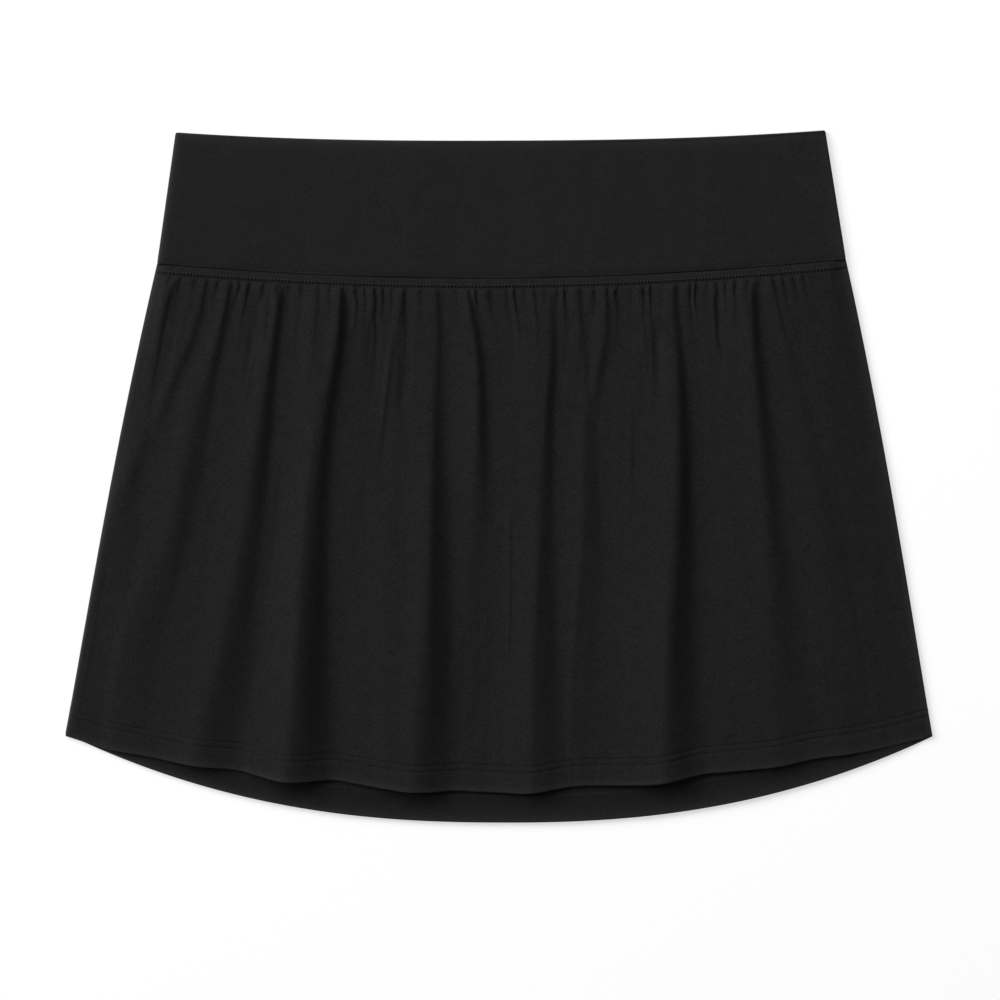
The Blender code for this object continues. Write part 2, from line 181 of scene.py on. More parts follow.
# %% [markdown]
# ## Folds of the front panel
#
# Gathered cloth that is laid down falls into long soft folds. Each one here is a fall to the
# right, from a crest to a valley, and the cloth then climbs again towards the next crest. A row
# of the table gives the place of a fold and its depth at six stations from the seam to the hem,
# all in millimetres, and how far to the left of its line it reaches, at a quarter of the length
# and at the hem. A fall is steepest at its line. A simulation would choose its own folds, so
# their height is worked out from these lines instead.

# %% Folds
STATIONS = (0.0, 0.1, 0.25, 0.5, 0.75, 1.0)
Fold = namedtuple("Fold", "x deep reach")
FOLDS = (
    Fold((-162, -165, -182.4, -210, -225, -236.4), (1, 1.5, 1.4, 1.6, 0.8, 0.4), (5, 12)),
    Fold((-148, -153, -162.4, -172.4, -198.5, -204), (1.5, 2.5, 2.2, 2, 2.6, 1.6), (5.5, 17)),
    Fold((-120, -123.8, -128.4, -135, -145.2, -159), (3.6, 3.6, 4, 3.3, 5, 4), (5, 14)),
    Fold((-89, -85.7, -94.6, -101.2, -102.6, -105.4), (3.4, 5, 5.3, 7.4, 11.2, 9.5), (7, 15)),
    Fold((-34.6, -32.5, -33.4, -33.2, -33.8, -36), (1.3, 1.7, 2.3, 5.8, 9, 7), (3.5, 14)),
    Fold((-19.8, -10.6, -8.8, -8.2, -14.2, -19), (2.8, 2.7, 4.8, 1.2, 0, 0), (4, 12)),
    Fold((26.4, 32.4, 28.2, 27, 25.6, 28), (0.8, 2.2, 2.8, 3.2, 6.2, 4.6), (3.5, 10)),
    Fold((60, 64.8, 51.4, 52.4, 48.2, 46), (0.9, 2.3, 1.4, 3, 1.2, 0.3), (5, 9)),
    Fold((96.2, 100, 103.4, 104.2, 101.8, 104.2), (1.4, 1.5, 5.3, 7.5, 9.5, 7.4), (3.5, 12)),
    Fold((143, 142.5, 147.1, 155, 161.4, 167.4), (2.9, 4.2, 4.4, 4, 3.6, 2.8), (4.5, 12)),
    Fold((150, 159.4, 169, 184.8, 195.8, 204.8), (0.5, 0.6, 0.6, 1.5, 0.7, 0.4), (5, 13)),
)
RISE_POWER = (1.9, 1.4)  # at the seam and at the hem, how late the cloth climbs to a crest
REACH_SPOTS = (0.0, 0.1, 0.25, 1.0)  # shares of the length where the reach to the left is set
REACH_SEAM = (1.5, 2.5)  # the first two of them, in millimetres. The last two are each fold's.
FALL_AFTER = (1.5, 14.0)  # reach to the right of its line, at the seam and at the hem
AFTER_POWER = 1.5  # over 1, it stays short for longer
STEEPEST = (0.1, 0.9)  # the least and the greatest share of a fall that its line may lie at
AROUND = (-1.0, -0.5, 0.0, 0.5, 1.0)  # where a soft value is read before it is averaged
LINE_SOFT = 0.08  # a fold's line is averaged over this share of the length, each way
CREST_SOFT = (0.8 * MM, 2.2 * MM)  # and its section over this width, at the seam and at the hem
LEAST_RISE = 1.0 * MM  # width that is kept between a valley and the next crest
FOLDS_OPEN = 13.0 * MM  # below the stitched allowance, the folds rise to full height in this


def down(values, share):
    """Reads a row's values at a share of the way down, with the corners eased."""
    return sum(np.interp(share + shift * LINE_SOFT, STATIONS, values) for shift in AROUND) / len(AROUND)


def fold_height(x, share):
    """Height of the folds over their valleys, at x and at a share of the way down."""
    soft = between(CREST_SOFT, share)
    height = np.zeros_like(x)
    valley = skirt_middle(share) - skirt_half(share)
    for fold in FOLDS:
        middle = down(fold.x, share) * MM
        deep = down(fold.deep, share) * MM
        reach = np.interp(share, REACH_SPOTS, REACH_SEAM + fold.reach) * MM
        crest = np.maximum(middle - reach, valley + LEAST_RISE)
        floor = middle + between(FALL_AFTER, np.maximum(share, 0.0) ** AFTER_POWER) * MM
        line = np.clip((middle - crest) / (floor - crest), *STEEPEST)
        power = math.log(0.5) / np.log(line)  # so that the fall is steepest at its line
        for shift in AROUND:
            spot = x + shift * soft
            climb = np.clip((spot - valley) / (crest - valley), 0.0, 1.0)
            climb = climb ** between(RISE_POWER, share)
            fallen = np.clip((spot - crest) / (floor - crest), 0.0, 1.0) ** power
            shape = np.where(spot < crest, climb, 1 - smooth(fallen, 0.0, 1.0))
            inside = (spot > valley) & (spot <= floor)
            height = height + np.where(inside, shape, 0.0) * deep / len(AROUND)
        valley = floor
    return height


def opened(distance):
    """How far the folds have opened: flat in the seam's stitching, whole soon below it."""
    share = np.clip((distance - ALLOWANCE) / FOLDS_OPEN, 0.0, 1.0)
    return np.sin(share * math.pi / 2)


def fold_line(seam_x, share):
    """Where a thread that starts at seam_x on the waist seam lies further down."""
    side = HIP_HALF - EDGE_ROLL
    middle, half = skirt_middle(share), skirt_half(share)
    starts = [-side] + [fold.x[0] * MM for fold in FOLDS] + [side]
    ends = [middle + EDGE_ROLL - half]
    ends += [down(fold.x, share) * MM for fold in FOLDS]
    ends += [middle + half - EDGE_ROLL]
    x = middle + np.copysign(half - (HIP_HALF - np.abs(seam_x)), seam_x)
    for start, stop, low, high in zip(starts, starts[1:], ends, ends[1:]):
        inside = (seam_x >= start) & (seam_x <= stop)
        x = np.where(inside, low + (high - low) * (seam_x - start) / (stop - start), x)
    return x


# How much lower than its plain curve the front hem hangs at x, both in millimetres
HEM_WAVE = (
    (-243, 1.2), (-224, 2.8), (-216, 2.8), (-194, 1.6), (-171, 2.0), (-147, -0.4), (-121, 3.1),
    (-93, -2.0), (-49, 2.0), (-23, -0.6), (-19, 0.0), (-3, 0.2), (16, 1.4), (42, -2.5), (55, -2.1),
    (88, 0.0), (114, -3.4), (156, -1.2), (180, -2.4), (191, -0.9), (213, 0.0),
)
HEM_SOFT = 6.0 * MM


def front_hem(x):
    """The hem hangs lower on a crest than in the valley beside it."""
    spots, drops = np.array(HEM_WAVE).T * MM
    drop = sum(np.interp(x + shift * HEM_SOFT, spots, drops) for shift in AROUND) / len(AROUND)
    return hem(x, FRONT_HEM_MIDDLE, FRONT_HEM_CURVE) - drop


print(len(FOLDS), "folds, deepest", max(max(fold.deep) for fold in FOLDS), "mm")

# %% [markdown]
# ## Creases
#
# Between the big folds there are shorter troughs that start under the seam and fade out, low wide
# ridges where the cloth swells, and a few thin ones where it is pinched. A trough is steep on its
# left and gentle on its right, like the folds. A row gives x and the distance below the seam at
# both ends, the depth, and the width of the left and the right bank, in millimetres. A ridge is a
# trough with a negative depth.

# %% Creases
Crease = namedtuple("Crease", "x_start x_end start end deep left right")
CREASES = (
    Crease(-179, -200, 5, 110, 2.2, 4.0, 7.0),
    Crease(-136, -141, 8, 76, 2.0, 3.5, 6.0),
    Crease(-128, -130, 6, 50, 1.0, 2.5, 4.0),
    Crease(-123, -128, 100, 200, 0.8, 5.0, 6.0),
    Crease(-105, -108, 6, 110, -1.2, 8.0, 10.0),
    Crease(-70, -77, 20, 96, 1.0, 3.5, 7.0),
    Crease(-52.5, -55.5, 10, 92, 2.4, 3.0, 6.0),
    Crease(49, 52, 15, 90, 1.7, 3.0, 5.0),
    Crease(58, 60, 75, 180, 1.1, 3.5, 7.0),
    Crease(77, 79, 6, 44, 1.2, 2.5, 4.0),
    Crease(88, 90, 26, 90, 1.4, 3.5, 6.0),
    Crease(105, 106, 6, 52, 1.0, 2.5, 4.0),
    Crease(122, 125, 8, 60, 1.6, 3.0, 5.0),
    Crease(148, 161, 12, 104, 1.7, 4.0, 6.0),
    Crease(168, 174, 10, 70, 1.0, 4.0, 6.0),
    Crease(-204, -224, 80, 300, -1.1, 10.0, 10.0),
    Crease(-134, -172, 60, 320, -0.9, 14.0, 13.0),
    Crease(-172, -188, 50, 200, -1.1, 7.0, 9.0),
    Crease(-64, -62, 110, 330, -1.1, 16.0, 12.0),
    Crease(-38, -40, 30, 300, -0.9, 12.0, 5.0),
    Crease(22, 20, 24, 240, -0.8, 22.0, 11.0),
    Crease(-186, -199, 4, 90, -1.4, 7.0, 5.0),
    Crease(-181.5, -193, 2, 42, -1.3, 5.0, 4.5),
    Crease(-76, -77, 4, 70, -1.0, 10.0, 9.0),
    Crease(-135, -147, 32, 98, -0.6, 1.4, 1.6),
    Crease(-80, -83, 10, 42, -0.9, 2.0, 2.4),
    Crease(-113, -116, 16, 60, -0.3, 1.2, 1.2),
    Crease(-57.5, -70, 18, 118, -1.1, 3.2, 2.4),
    Crease(6, 5, 120, 250, -0.7, 1.4, 1.6),
    Crease(73.5, 73, 70, 145, -1.0, 1.8, 1.6),
    Crease(81, 82, 26, 64, -0.8, 1.6, 2.0),
)
CREASE_DEEPENS = 0.15  # a crease is at its deepest from this share of its length on
CREASE_FADES = 0.35  # and gets shallower after this one
RIPPLE = (34.0 * MM, 15.0 * MM, 7.0 * MM)  # lengths of the cloth's unevenness, slow to quick
RIPPLE_DEEP = (0.5 * MM, 0.22 * MM, 0.06 * MM)
RIPPLE_STRETCH = 0.45  # it is this much longer down the cloth than across
RIPPLE_FROM = (6.0 * MM, 30.0 * MM)  # it grows from nothing to full between these distances
STREAK, STREAK_LONG, STREAK_DEEP = 5.5 * MM, 60.0 * MM, 0.2 * MM  # faint creases down the cloth
WANDER, WANDER_LONG, WANDER_WIDE = 13.0 * MM, 11.0 * MM, 1.3 * MM  # gathers aren't straight
WANDER_FROM, WANDER_TO = (5.0 * MM, 9.0 * MM), (30.0 * MM, 70.0 * MM)  # they start to stray, and end
WANDER_SIDE = 12.0 * MM  # nearer than this to a side edge, they stray less
FRONT_SEED, STREAK_SEED, WANDER_SEED = 3.7, 2.2, 6.6  # places in the noise, none near another
BACK_SEED, BAND_FRONT_SEED, BAND_BACK_SEED = 8.1, 1.3, 5.9


def crease_depth(x, distance):
    total = np.zeros_like(x)
    for crease in CREASES:
        share = np.clip((distance / MM - crease.start) / (crease.end - crease.start), 0, 1)
        away = x / MM - between((crease.x_start, crease.x_end), share)
        bank = np.where(away < 0, crease.left, crease.right)
        ends = smooth(share, 0.0, CREASE_DEEPENS) * (1 - smooth(share, CREASE_FADES, 1.0))
        total = total + crease.deep * MM * ends * (1 - smooth(np.abs(away) / bank, 0.0, 1.0))
    return total


def noise_at(x, y, seed):
    """Smooth noise from -1 to 1 at every x and y, one unit being about one bump."""
    values = [noise.noise(Vector((*spot, seed))) for spot in zip(x.ravel(), y.ravel())]
    return np.array(values).reshape(x.shape)


def ripple(x, y, seed):
    """The unevenness of cloth that was smoothed down by hand."""
    total = np.zeros_like(x)
    for length, deep in zip(RIPPLE, RIPPLE_DEEP):
        total = total + deep * noise_at(x / length, y * RIPPLE_STRETCH / length, seed)
    return total


ridges = sum(crease.deep < 0 for crease in CREASES)
print(len(CREASES) - ridges, "troughs and", ridges, "ridges")

# %% [markdown]
# ## Gathers
#
# Before the skirt is sewn to the waistband, a thread draws its top edge in. Each gather comes
# out from under the topstitching as a narrow ridge with a deep pit beside it, then widens and
# fades. The larger ones are listed one by one. No two of the small ones between them are alike, so
# a fixed uneven number sets the place, height and length of each.

# %% Gathers
Gather = namedtuple("Gather", "x rise length")
GATHERS = (
    Gather(-184.0, 1.0, 8), Gather(-177.3, 1.2, 10), Gather(-168.5, 1.1, 9),
    Gather(-161.8, 1.0, 10), Gather(-155.6, 1.3, 6), Gather(-147.9, 1.2, 10),
    Gather(-143.9, 1.5, 6), Gather(-138.0, 2.0, 16), Gather(-129.4, 1.8, 14),
    Gather(-121.7, 1.2, 12), Gather(-110.1, 1.1, 9), Gather(-100.7, 1.4, 30),
    Gather(-95.1, 1.2, 10), Gather(-88.2, 1.4, 12), Gather(-81.2, 2.0, 8),
    Gather(-70.1, 2.0, 24), Gather(-65.7, 1.5, 9), Gather(-53.4, 1.8, 30),
    Gather(-43.9, 1.2, 10), Gather(-34.0, 1.2, 10), Gather(-26.3, 0.8, 14),
    Gather(-16.2, 1.3, 10), Gather(-7.8, 1.8, 12), Gather(2.2, 1.2, 12),
    Gather(6.2, 1.5, 14), Gather(17.4, 1.2, 20), Gather(30.5, 1.1, 10),
    Gather(34.6, 1.7, 12), Gather(44.6, 1.8, 30), Gather(51.3, 1.4, 9),
    Gather(59.5, 1.6, 12), Gather(64.6, 1.8, 12), Gather(79.0, 1.7, 24),
    Gather(83.4, 1.3, 12), Gather(98.6, 1.4, 14), Gather(106.3, 1.5, 20),
    Gather(109.2, 1.6, 9), Gather(121.2, 1.1, 24), Gather(125.7, 1.2, 14),
    Gather(131.8, 1.6, 12), Gather(139.4, 1.4, 10), Gather(150.1, 1.7, 14),
    Gather(155.0, 1.3, 12), Gather(161.2, 1.3, 9), Gather(166.8, 0.9, 9),
)
FILL_PITCH = 6.3  # the small gathers between them are about this far apart, in millimetres
FILL_SPARE = 0.1  # a gap counts as this share of a pitch less than it is
FILL_STRAY = 0.4  # how far they stray, as a share of the space that each has
FILL_RISE, FILL_LENGTH = (0.4, 1.1), (4, 9)
RISE_DRAW, LENGTH_DRAW = 100, 200  # where the numbers for their heights and lengths start
LAST_GATHER = 189.5  # nothing is gathered beyond this
GATHER_CREST = 0.72  # share of the way from one valley to the next
GATHER_STEPS = (0.0, 0.2, 0.4, 0.55, 0.68, 0.8, 0.9)  # shares of it that have a column
GATHER_OPENS = 3.0 * MM
GATHER_PRESSED = 0.1  # share of its height that is left in the pressed allowance
GATHER_WIDENS = 12.0 * MM
GATHER_SHARP = (1.7, 0.8)  # over 1, its climb is hollow; before and after it has widened
SMOOTH_FROM, FLATTER = 168.0, 0.3  # right of this the small gathers have this share of their height
ROLL_TURNS = (0, 22, 45, 67, 90)  # degrees round the roll of a side edge


def uneven(number):
    """A fixed number from 0 to 1 that looks random, one for each whole number."""
    return math.sin(12.9898 * number + 4.1) * 43758.5453 % 1.0


def all_gathers():
    """The gathers placed by hand, with small ones filled in between them, left to right."""
    ends = (Gather(-LAST_GATHER, 0.0, 5),) + GATHERS + (Gather(LAST_GATHER, 0.0, 5),)
    gathers = [ends[0]]
    for left, right in zip(ends, ends[1:]):
        parts = max(round((right.x - left.x) / FILL_PITCH - FILL_SPARE), 1)
        for part in range(1, parts):
            seed = len(gathers)
            x = between((left.x, right.x), (part + FILL_STRAY * (uneven(seed) - 0.5)) / parts)
            rise = between(FILL_RISE, uneven(seed + RISE_DRAW))
            if x >= SMOOTH_FROM:
                rise *= FLATTER
            gathers.append(Gather(x, rise, between(FILL_LENGTH, uneven(seed + LENGTH_DRAW))))
        gathers.append(right)
    return gathers


def front_columns():
    """For each column: x at the seam, and the rise, length and share across of its gather."""
    gathers = all_gathers()
    turns = [EDGE_ROLL * (1 - math.cos(math.radians(turn))) for turn in ROLL_TURNS]
    columns = [(place - HIP_HALF, 0.0, MM, 0.0) for place in turns]
    for left, right in zip(gathers, gathers[1:]):
        for step in GATHER_STEPS:
            x = between((left.x, right.x), step) * MM
            columns.append((x, right.rise * MM, right.length * MM, step))
    columns.append((LAST_GATHER * MM, 0.0, MM, 0.0))
    columns += [(HIP_HALF - place, 0.0, MM, 0.0) for place in reversed(turns)]
    return np.array(columns).T


def gather_height(rise, length, across, distance):
    """Height of the gathers at a distance below the waist seam."""
    below = distance - ALLOWANCE
    sharp = between(GATHER_SHARP, smooth(below, 0.0, GATHER_WIDENS))
    climb = np.sin(np.clip(across / GATHER_CREST, 0, 1) * math.pi / 2) ** sharp
    fall = np.cos(np.clip((across - GATHER_CREST) / (1 - GATHER_CREST), 0, 1) * math.pi / 2)
    ridge = np.where(across < GATHER_CREST, climb, np.abs(fall))
    fades = np.exp(-np.maximum(below - GATHER_OPENS, 0.0) / length)
    pressed = between((GATHER_PRESSED, 1.0), smooth(below, 0.0, GATHER_OPENS))
    return rise * pressed * fades * ridge


columns = front_columns()
print(len(all_gathers()), "gathers,", columns.shape[1], "columns of cloth")

# %% [markdown]
# ## A sheet of cloth
#
# Every piece of cloth starts as a flat grid. Its points are moved onto the form of the real
# piece, and a UV map keeps their places on the flat cloth, so that the knit follows it. A
# Solidify modifier adds the wall, inwards from the face that shows, on all but the waistband,
# which is a closed loop already.

# %% Sheet
RIM_CLOSE, RIM_NEAR, RIM_FAR = 0.8, 1.2 * MM, 3.5 * MM  # the painted rim highlight fades in a near and a far part


def add_object(name, form):
    """Puts a finished form into the scene, with smooth shading."""
    for face in form.faces:
        face.smooth = True
    mesh = bpy.data.meshes.new(name)
    form.to_mesh(mesh)
    form.free()
    piece = bpy.data.objects.new(name, mesh)
    bpy.context.scene.collection.objects.link(piece)
    return piece


def rim_highlight(inwards):
    """How strong the painted edge highlight is at a distance inwards of an outer edge: 1 at the edge.
    """
    inwards = np.maximum(inwards, 0.0)
    return RIM_CLOSE * np.exp(-inwards / RIM_NEAR) + (1 - RIM_CLOSE) * np.exp(-inwards / RIM_FAR)


def sheet(name, places, flat, wall, rim):
    """A grid moved to places[row, column], whose UV map is flat[row, column] in metres.

    rim[row, column] goes to an attribute that paints the colour lighter along the outer edges, a
    painted highlight.
    """
    rows, columns = places.shape[:2]
    form = bmesh.new()
    cloth = form.loops.layers.uv.new("cloth")
    lighter = form.verts.layers.float.new("rim")
    bmesh.ops.create_grid(form, x_segments=columns - 1, y_segments=rows - 1, size=1.0)
    spots = {}
    for point in form.verts:
        column = round((point.co.x + 1) / 2 * (columns - 1))
        row = round((1 - point.co.y) / 2 * (rows - 1))
        spots[point] = (row, column)
        point.co = Vector(places[row, column])
        point[lighter] = rim[row, column]
    for face in form.faces:
        for corner in face.loops:
            corner[cloth].uv = flat[spots[corner.vert]]
    piece = add_object(name, form)
    if wall:
        thick = piece.modifiers.new("Wall", "SOLIDIFY")
        thick.thickness = wall
        thick.offset = -1
        thick.use_even_offset = True
    return piece


def dress(piece, node, material):
    """The piece takes the place of a CAD node and moves with the garment."""
    piece.data.materials.append(material)
    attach(piece, "root")
    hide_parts(node)
    faces = len(piece.data.polygons)
    print(piece.name, "replaces", node, "with", faces, "faces before its wall")


# %% [markdown]
# ## Jersey
#
# Jersey is a knit: columns of small loops that stand up like tiny chevrons. These are about
# half a millimetre wide, too fine to see from a step away, so they are drawn twice as coarse.
# What the eye does see is the grain of the yarn, a matt nap, and a faint unevenness of the dye.
# Along the outer edges the colour is painted lighter, a painted highlight for the glow round the cloth
# on the white table.

# %% Colour and node helpers


def linear(hex_colour):
    """An sRGB hex colour as the linear colour that shaders use."""
    parts = [int(hex_colour[i:i + 2], 16) / 255 for i in (1, 3, 5)]
    return [p / 12.92 if p <= 0.04045 else ((p + 0.055) / 1.055) ** 2.4 for p in parts] + [1.0]


COLOUR_A, COLOUR_B, COLOUR_OUT = 6, 7, 2  # the colour sockets of a Mix node, by their numbers


def add_node(material, kind, settings, inputs):
    """Adds a node. An input that is given an output is linked to it, any other is set."""
    node = material.node_tree.nodes.new(kind)
    for name, value in settings.items():
        setattr(node, name, value)
    for name, value in inputs.items():
        if isinstance(value, bpy.types.NodeSocket):
            material.node_tree.links.new(value, node.inputs[name])
        else:
            node.inputs[name].default_value = value
    return node


# %% Knitted jersey
WAVE_PERIOD = 2 * math.pi / 20  # a Wave texture of scale 1 repeats after this
LEG_LEAN = 38  # degrees that each leg of a loop leans
GRAIN, DYE, TWIST = 0.9 / MM, 0.14 / MM, 2.5 / MM  # bumps of yarn, dye and thread to a metre
LOOPS_SHOW = 0.35  # height of the loops against the grain's
GRAIN_SHADES = 4.0  # how much more the grain changes the shade than the dye does
SHADES = (1.3, 3.7)  # sums of both that give the dark and the light colour
# The lighter colour that the painted edge highlight mixes in.
RIM_HIGHLIGHT_COLOUR = "#2c2c2c"


def jersey(name, dark, light, loop, relief, sheen):
    """A matt knit. loop is the width of its loops in metres and relief the height of its grain."""
    material = bpy.data.materials.new(name)
    material.use_nodes = True
    shader = material.node_tree.nodes["Principled BSDF"]
    cloth = add_node(material, "ShaderNodeUVMap", {"uv_map": "cloth"}, {})
    place = add_node(material, "ShaderNodeTexCoord", {}, {})
    grain = add_node(material, "ShaderNodeTexNoise", {}, {
        "Vector": place.outputs["Object"], "Scale": GRAIN, "Detail": 2.0, "Roughness": 0.7})
    dye = add_node(material, "ShaderNodeTexNoise", {}, {
        "Vector": place.outputs["Object"], "Scale": DYE, "Detail": 3.0, "Roughness": 0.6})
    legs = []
    for turn in (LEG_LEAN, -LEG_LEAN):
        turned = add_node(material, "ShaderNodeMapping", {}, {
            "Vector": cloth.outputs["UV"], "Rotation": (0.0, 0.0, math.radians(turn))})
        legs.append(add_node(material, "ShaderNodeTexWave", {"wave_type": "BANDS"}, {
            "Vector": turned.outputs["Vector"], "Scale": WAVE_PERIOD / loop,
            "Distortion": 1.5, "Detail": 1.0, "Detail Scale": 2.0}))
    loops = add_node(material, "ShaderNodeMath", {"operation": "MAXIMUM"}, {
        0: legs[0].outputs["Fac"], 1: legs[1].outputs["Fac"]})
    yarn = add_node(material, "ShaderNodeMath", {"operation": "MULTIPLY_ADD"}, {
        0: loops.outputs["Value"], 1: LOOPS_SHOW, 2: grain.outputs["Fac"]})
    bump = add_node(material, "ShaderNodeBump", {}, {
        "Height": yarn.outputs["Value"], "Distance": relief, "Strength": 1.0})
    shade = add_node(material, "ShaderNodeMath", {"operation": "MULTIPLY_ADD"}, {
        0: grain.outputs["Fac"], 1: GRAIN_SHADES, 2: dye.outputs["Fac"]})
    colour = add_node(material, "ShaderNodeMapRange", {}, {
        "Value": shade.outputs["Value"], "From Min": SHADES[0], "From Max": SHADES[1]})
    mixed = add_node(material, "ShaderNodeMix", {"data_type": "RGBA"}, {
        "Factor": colour.outputs["Result"], COLOUR_A: linear(dark), COLOUR_B: linear(light)})
    # The rim attribute mixes in a lighter colour near the outer edges: a painted highlight.
    edge = add_node(material, "ShaderNodeAttribute", {"attribute_name": "rim"}, {})
    rimmed = add_node(material, "ShaderNodeMix", {"data_type": "RGBA"}, {
        "Factor": edge.outputs["Fac"], COLOUR_A: mixed.outputs[COLOUR_OUT],
        COLOUR_B: linear(RIM_HIGHLIGHT_COLOUR)})
    links = material.node_tree.links
    links.new(rimmed.outputs[COLOUR_OUT], shader.inputs["Base Color"])
    links.new(bump.outputs["Normal"], shader.inputs["Normal"])
    shader.inputs["Roughness"].default_value = 0.92
    shader.inputs["Specular IOR Level"].default_value = 0.12
    shader.inputs["Sheen Weight"].default_value = sheen
    shader.inputs["Sheen Roughness"].default_value = 0.3
    return material


skirt_jersey = jersey("cotton_jersey", "#080808", "#1b1b1b", 1.1 * MM, 0.10 * MM, 0.07)
# A darker copy of the skirt's jersey for the back panel: painted shade for the strip that lies in the
# shade of the front hem.
painted_shade_jersey = jersey("cotton_jersey_painted_shade", "#060606", "#181818", 1.1 * MM, 0.10 * MM, 0.06)
band_jersey = jersey("doubled_stretch_jersey", "#0c0c0c", "#1b1b1b", 0.9 * MM, 0.06 * MM, 0.07)
shorts_jersey = jersey("smooth_stretch_jersey", "#101010", "#161616", 0.8 * MM, 0.05 * MM, 0.05)
for knit in (skirt_jersey, painted_shade_jersey, band_jersey, shorts_jersey):
    print("jersey:", knit.name)

# %% Sewing thread


def sewing_thread(name, dark, light):
    """Spun polyester, whose twist shows as small light and dark turns."""
    material = bpy.data.materials.new(name)
    material.use_nodes = True
    place = add_node(material, "ShaderNodeTexCoord", {}, {})
    twist = add_node(material, "ShaderNodeTexNoise", {}, {
        "Vector": place.outputs["Object"], "Scale": TWIST, "Detail": 1.0})
    colour = add_node(material, "ShaderNodeMix", {"data_type": "RGBA"}, {
        "Factor": twist.outputs["Fac"], COLOUR_A: linear(dark), COLOUR_B: linear(light)})
    shader = material.node_tree.nodes["Principled BSDF"]
    material.node_tree.links.new(colour.outputs[COLOUR_OUT], shader.inputs["Base Color"])
    shader.inputs["Roughness"].default_value = 0.6
    shader.inputs["Specular IOR Level"].default_value = 0.2
    print("thread:", name)
    return material


# Two copies of one polyester thread: the light one is a painted highlight for the cover stitch, the
# near-black one painted shade for the needle and hem stitches.
thread = sewing_thread("polyester_thread", "#1b1b1b", "#2e2e2e")
shade_painted_thread = sewing_thread("polyester_thread_painted_shade", "#020202", "#0e0e0e")

# %% [markdown]
# ## Front of the skirt
#
# The front rests on the shorts, and beside them it settles towards the back panel. Its top
# 5 mm are the pressed seam allowance, which stands a little proud and ends at the
# topstitching. Its hem is turned up 15 mm and sewn with two parallel rows, whose pull leaves
# two shallow grooves, and the turned edge is round.

# %% Form of the front
JERSEY_WALL = 0.9 * MM
SEAT = 1.3 * MM  # what lies on the back panel starts here
FRONT_LOW, FRONT_HIGH = 2.9 * MM, 4.9 * MM  # the front's face beside the shorts and over them
SHORTS_COVER = 184.0 * MM
ALLOWANCE_PROUD = 0.7 * MM  # the pressed allowance stands proud by this
ALLOWANCE_RISES, ALLOWANCE_FALLS = (0.0, 3.0 * MM), (3.4 * MM, 5.2 * MM)
WAIST_GROOVE, HEM_GROOVE = (0.3 * MM, 0.8 * MM), (0.45 * MM, 0.6 * MM)  # depth and half width
SINKS = 0.4 * MM  # the least level is this far under the level that the front rests at
HEM_ROLL = 1.1 * MM
ROLL_ROWS = (0, 25, 50, 75, 90)  # degrees round the roll of the hem
TWIN_ROWS = (15.0 * MM, 11.5 * MM)  # the hem's two rows of stitches, up from the edge
NEAR_ROWS = (-0.6, -0.4, -0.1, 0.3, 0.9, 2, 3.2, 4, 4.4, 4.65, 4.9, 5.2, 5.6, 6.1, 6.8, 7.7,
             8.8, 10.1, 11.6, 13.4, 15.5, 18, 21, 24.5, 28.5, 33)
HEM_ROWS = (17, 15.9, 15.4, 15, 14.6, 14.1, 13.2, 12.4, 11.9, 11.5, 11.1, 10.6, 8, 5.5, 3.5, 2.2)
MIDDLE_ROWS = 44
HEM_RIM = 0.75  # the hems' edges get this much of the painted edge highlight that the sides have
SHADY = 0.8  # and the right side, away from the light, this much of the left side's painted highlight
RIM_FROM = 2.0 * MM  # it starts below the waist seam
TUCKED = 2.8 * MM  # height of the top edge, which is tucked under the waistband
TUCK = (-0.6 * MM, 0.4 * MM)  # and the distances that it comes out between
ROW_UNDER_SEAM, ROW_AT_HEM = 14, -8  # where the cloth is measured across
FRONT_FLAT = (500.0 * MM, 560.0 * MM)  # the cut's width at its top, before gathering, and hem


def groove(distance, centre, size):
    """How deep a groove along a row is, from its (depth, half width)."""
    deep, half = size
    return deep * (1 - smooth(np.abs(distance - centre), 0.0, half))


def front_form(seam_x, rise, fade, across, distance, length):
    """The place of each point of the front, all arguments being arrays of one shape."""
    share = distance / length
    x = fold_line(seam_x, share)
    inwards = HIP_HALF - np.abs(seam_x)
    strays = smooth(distance, *WANDER_FROM) * (1 - smooth(distance, *WANDER_TO))
    strays = strays * smooth(inwards, EDGE_ROLL, WANDER_SIDE)
    x = x + WANDER_WIDE * strays * noise_at(seam_x / WANDER, distance / WANDER_LONG, WANDER_SEED)
    top = waist_seam(fold_line(seam_x, 0 * seam_x)) - SEAM_GAP
    over_shorts = 1 - smooth(np.abs(x), SHORTS_COVER, skirt_half(share) - EDGE_ROLL)
    resting = between((FRONT_LOW, FRONT_HIGH), over_shorts)
    folded = np.maximum(fold_height(x, share) - crease_depth(x, distance), 0.0)
    height = resting + folded * opened(distance)
    height = height + gather_height(rise, fade, across, distance)
    uneven_parts = ripple(x, top - distance, FRONT_SEED)
    uneven_parts += STREAK_DEEP * noise_at(seam_x / STREAK, distance / STREAK_LONG, STREAK_SEED)
    height = height + uneven_parts * smooth(distance, *RIPPLE_FROM)
    pressed = smooth(distance, *ALLOWANCE_RISES) * (1 - smooth(distance, *ALLOWANCE_FALLS))
    height = height + ALLOWANCE_PROUD * pressed
    height = height - groove(distance, ALLOWANCE, WAIST_GROOVE)
    for row in TWIN_ROWS:
        height = height - groove(length - distance, row, HEM_GROOVE)
    height = np.maximum(height, resting - SINKS)
    height = between((TUCKED, height), smooth(distance, *TUCK))
    lift = np.sqrt(np.clip(1 - (1 - inwards / EDGE_ROLL) ** 2, 0.0, 1.0))
    height = np.where(inwards < EDGE_ROLL, between((SEAT, height), lift), height)
    return np.stack((x, top - distance, height), axis=-1)


def front_length(seam_x):
    top = waist_seam(fold_line(seam_x, np.zeros_like(seam_x))) - SEAM_GAP
    return top - front_hem(fold_line(seam_x, np.ones_like(seam_x)))


